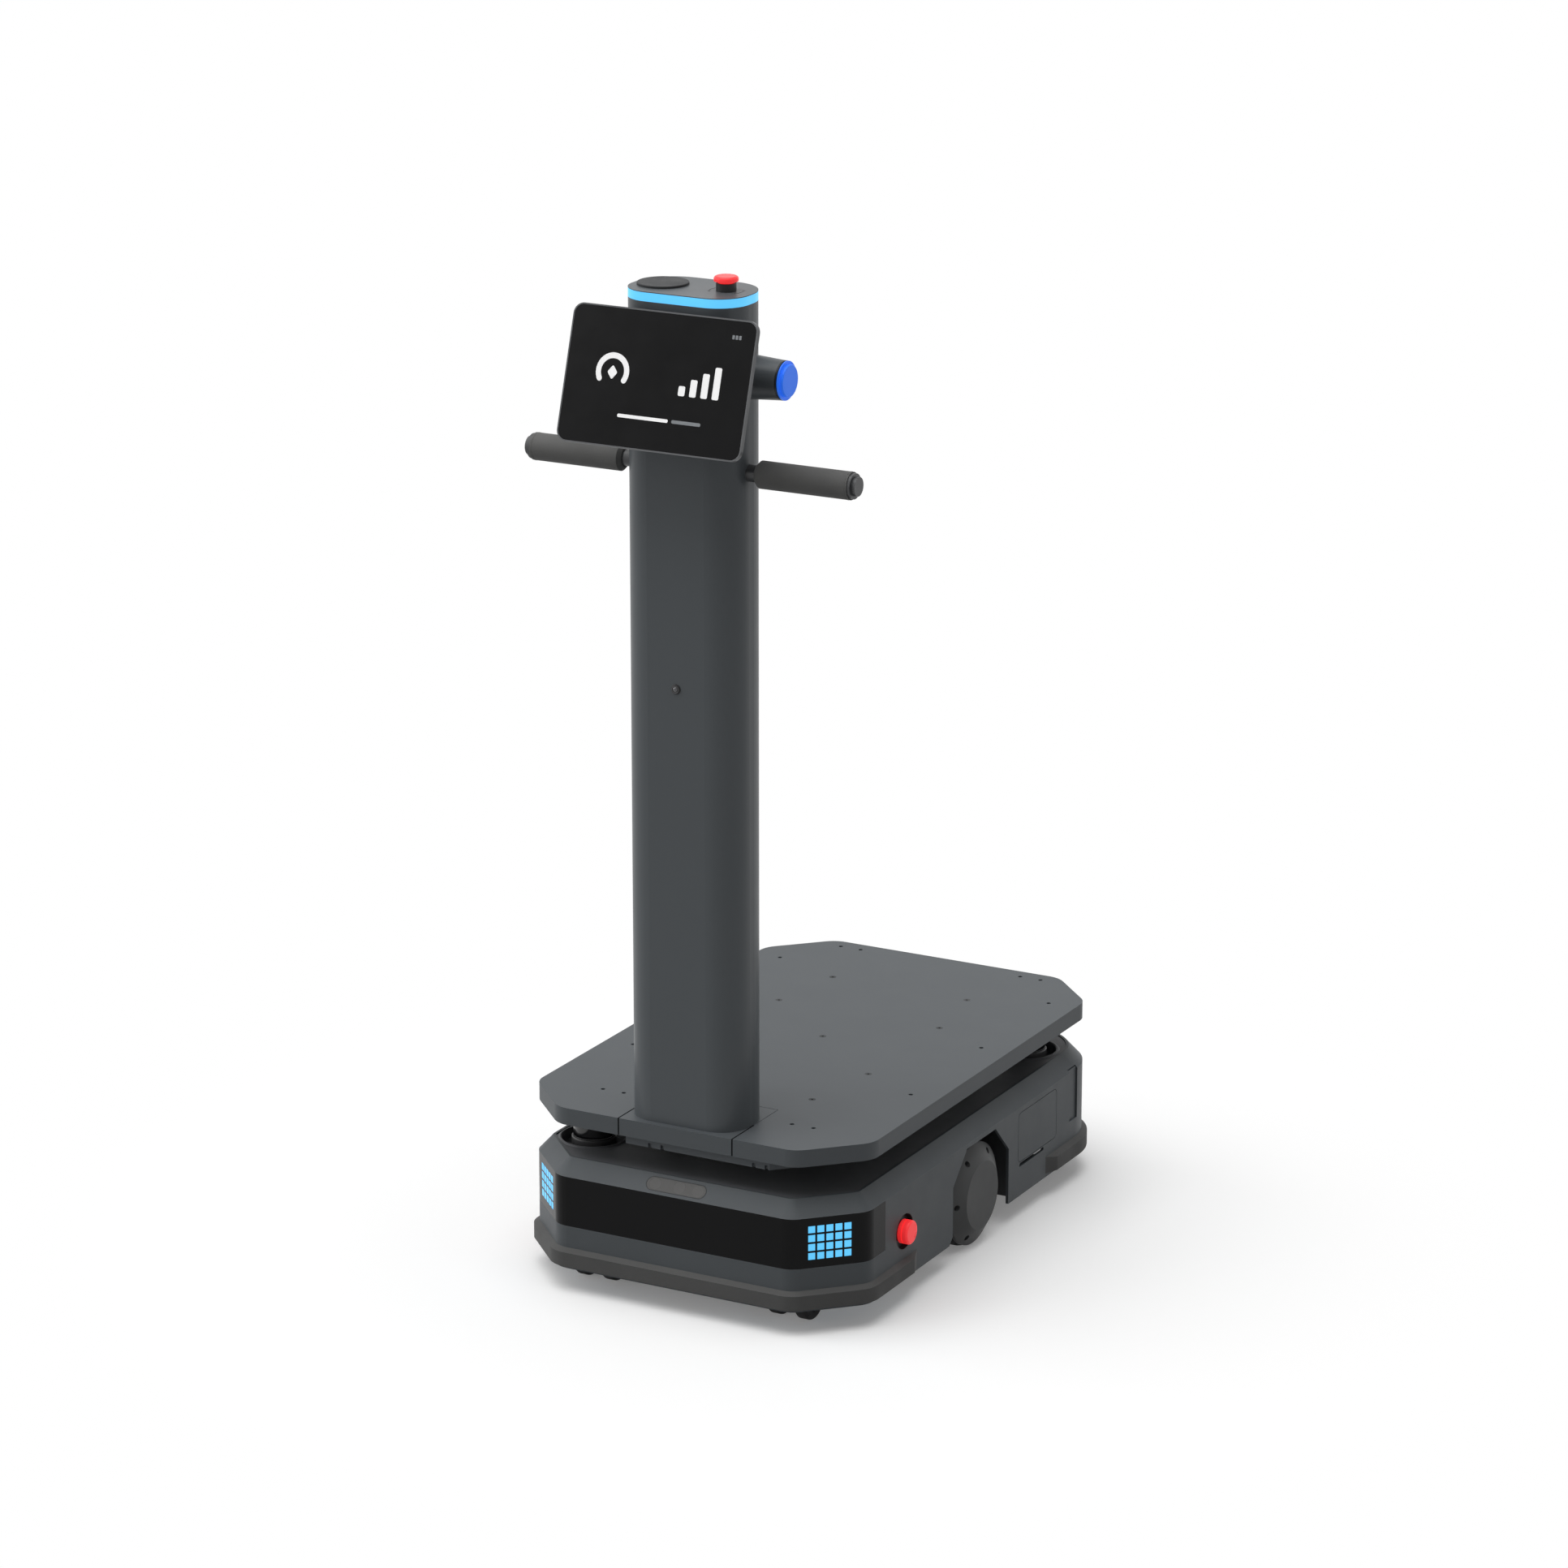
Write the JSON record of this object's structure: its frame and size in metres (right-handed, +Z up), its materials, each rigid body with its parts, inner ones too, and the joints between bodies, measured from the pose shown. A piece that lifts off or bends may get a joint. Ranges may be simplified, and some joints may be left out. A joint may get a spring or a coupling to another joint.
{
  "type": "autonomous mobile robot",
  "caption": "Low wheeled mobile robot base with a flat load deck and a front column carrying a tilted touch screen, handles, light band and stop buttons.",
  "frame": {"origin": "on the floor, under the centre of the overall box", "axes": "+Z up; the front, with the column and screen, faces -Y; +X is the right hand of a person in front who looks along +Y"},
  "size_m": [0.506, 0.835, 1.333],
  "materials": {
    "frame_steel": "satin powder coat",
    "body_grey": "fine textured satin",
    "roof_dark": "matt",
    "fascia_black": "gloss",
    "led_blue": "lit diffuser",
    "window_grey": "smoked",
    "black_plastic": "matt",
    "bumper_rubber": "matt",
    "lidar_housing": "satin",
    "lidar_window": "gloss",
    "deck_grey": "fine textured satin",
    "screw_steel": "black oxide",
    "column_grey": "fine textured satin",
    "disc_dark": "satin",
    "screen_shell": "satin",
    "screen_glass": "gloss",
    "bar_dark": "satin",
    "grip_rubber": "matt",
    "battery_case": "satin",
    "spring_steel": "bright",
    "hub_aluminium": "cast",
    "tyre_black": "moulded",
    "cover_grey": "satin",
    "caster_fork": "zinc plated",
    "caster_tread": "matt",
    "button_blue": "gloss",
    "stop_red": "satin gloss"
  },
  "bodies": {
    "chassis": {"chassis_frame": "frame_steel", "deck_frame": "frame_steel", "body_shell": "body_grey", "roof_cover": "roof_dark", "front_fascia": "fascia_black", "led_matrices": "led_blue", "light_band": "led_blue", "camera_window": "window_grey", "depth_camera": "black_plastic", "controller_box": "black_plastic", "button_bezel": "black_plastic", "top_estop_collar": "black_plastic", "right_estop_collar": "black_plastic", "left_estop_collar": "black_plastic", "column_camera": "black_plastic", "front_bumper": "bumper_rubber", "rear_bumper": "bumper_rubber", "lidar_front_base": "lidar_housing", "lidar_rear_base": "lidar_housing", "lidar_front_window": "lidar_window", "lidar_rear_window": "lidar_window", "load_deck": "deck_grey", "column_foot": "deck_grey", "deck_screws": "screw_steel", "column_tube": "column_grey", "column_cap": "column_grey", "button_pod": "column_grey", "screen_bracket": "column_grey", "top_disc": "disc_dark", "screen_housing": "screen_shell", "screen_glass": "screen_glass", "handle_bar": "bar_dark", "grip_end_caps": "bar_dark", "grip_left": "grip_rubber", "grip_right": "grip_rubber", "battery_pack": "battery_case", "suspension_spring_left": "spring_steel", "suspension_spring_right": "spring_steel"},
    "battery_door": {"battery_door": "body_grey"},
    "blue_button": {"blue_button": "button_blue"},
    "top_estop": {"top_estop_cap": "stop_red"},
    "right_estop": {"right_estop_cap": "stop_red"},
    "left_estop": {"left_estop_cap": "stop_red"},
    "arm_left": {"suspension_arm_left": "frame_steel"},
    "drive_wheel_left": {"hub_motor_left": "hub_aluminium", "drive_tyre_left": "tyre_black", "wheel_cover_left": "cover_grey"},
    "arm_right": {"suspension_arm_right": "frame_steel"},
    "drive_wheel_right": {"hub_motor_right": "hub_aluminium", "drive_tyre_right": "tyre_black", "wheel_cover_right": "cover_grey"},
    "caster_front_left": {"caster_fork_front_left": "caster_fork"},
    "caster_wheels_front_left": {"caster_wheels_front_left": "caster_tread"},
    "caster_front_right": {"caster_fork_front_right": "caster_fork"},
    "caster_wheels_front_right": {"caster_wheels_front_right": "caster_tread"},
    "caster_rear_left": {"caster_fork_rear_left": "caster_fork"},
    "caster_wheels_rear_left": {"caster_wheels_rear_left": "caster_tread"},
    "caster_rear_right": {"caster_fork_rear_right": "caster_fork"},
    "caster_wheels_rear_right": {"caster_wheels_rear_right": "caster_tread"}
  },
  "joints": [
    {"name": "suspension_left", "type": "hinge", "parent": "chassis", "child": "arm_left", "pos_m": [-0.136, 0.137, 0.0712], "axis": [-1, 0, 0], "range_deg": [0, 2.5], "stiffness_Nm_per_rad": 900, "springref_deg": -2.86, "deforming": ["suspension_spring_left"]},
    {"name": "drive_left", "type": "hinge", "parent": "arm_left", "child": "drive_wheel_left", "pos_m": [-0.206, 0.027, 0.0712], "axis": [1, 0, 0], "continuous": true},
    {"name": "suspension_right", "type": "hinge", "parent": "chassis", "child": "arm_right", "pos_m": [0.136, 0.137, 0.0712], "axis": [-1, 0, 0], "range_deg": [0, 2.5], "stiffness_Nm_per_rad": 900, "springref_deg": -2.86, "deforming": ["suspension_spring_right"]},
    {"name": "drive_right", "type": "hinge", "parent": "arm_right", "child": "drive_wheel_right", "pos_m": [0.206, 0.027, 0.0712], "axis": [1, 0, 0], "continuous": true},
    {"name": "caster_swivel_front_left", "type": "hinge", "parent": "chassis", "child": "caster_front_left", "pos_m": [-0.1415, -0.276, 0.078], "axis": [0, 0, 1], "continuous": true},
    {"name": "caster_spin_front_left", "type": "hinge", "parent": "caster_front_left", "child": "caster_wheels_front_left", "pos_m": [-0.1415, -0.3, 0.027], "axis": [1, 0, 0], "continuous": true},
    {"name": "caster_swivel_front_right", "type": "hinge", "parent": "chassis", "child": "caster_front_right", "pos_m": [0.1415, -0.276, 0.078], "axis": [0, 0, 1], "continuous": true},
    {"name": "caster_spin_front_right", "type": "hinge", "parent": "caster_front_right", "child": "caster_wheels_front_right", "pos_m": [0.1415, -0.3, 0.027], "axis": [1, 0, 0], "continuous": true},
    {"name": "caster_swivel_rear_left", "type": "hinge", "parent": "chassis", "child": "caster_rear_left", "pos_m": [-0.1415, 0.334, 0.078], "axis": [0, 0, 1], "continuous": true},
    {"name": "caster_spin_rear_left", "type": "hinge", "parent": "caster_rear_left", "child": "caster_wheels_rear_left", "pos_m": [-0.1415, 0.31, 0.027], "axis": [1, 0, 0], "continuous": true},
    {"name": "caster_swivel_rear_right", "type": "hinge", "parent": "chassis", "child": "caster_rear_right", "pos_m": [0.1415, 0.334, 0.078], "axis": [0, 0, 1], "continuous": true},
    {"name": "caster_spin_rear_right", "type": "hinge", "parent": "caster_rear_right", "child": "caster_wheels_rear_right", "pos_m": [0.1415, 0.31, 0.027], "axis": [1, 0, 0], "continuous": true},
    {"name": "battery_door_hinge", "type": "hinge", "parent": "chassis", "child": "battery_door", "pos_m": [0.241, 0.19575, 0.1375], "axis": [0, -1, 0], "range_deg": [0, 100]},
    {"name": "call_button_press", "type": "slide", "parent": "chassis", "child": "blue_button", "axis": [-1, 0, 0], "range_m": [0, 0.0008], "stiffness_N_per_m": 1500, "springref_m": -0.001},
    {"name": "top_estop_press", "type": "slide", "parent": "chassis", "child": "top_estop", "axis": [0, 0, -1], "range_m": [0, 0.002], "stiffness_N_per_m": 3000, "springref_m": -0.002},
    {"name": "right_estop_press", "type": "slide", "parent": "chassis", "child": "right_estop", "axis": [-1, 0, 0], "range_m": [0, 0.002], "stiffness_N_per_m": 3000, "springref_m": -0.002},
    {"name": "left_estop_press", "type": "slide", "parent": "chassis", "child": "left_estop", "axis": [1, 0, 0], "range_m": [0, 0.002], "stiffness_N_per_m": 3000, "springref_m": -0.002}
  ]
}
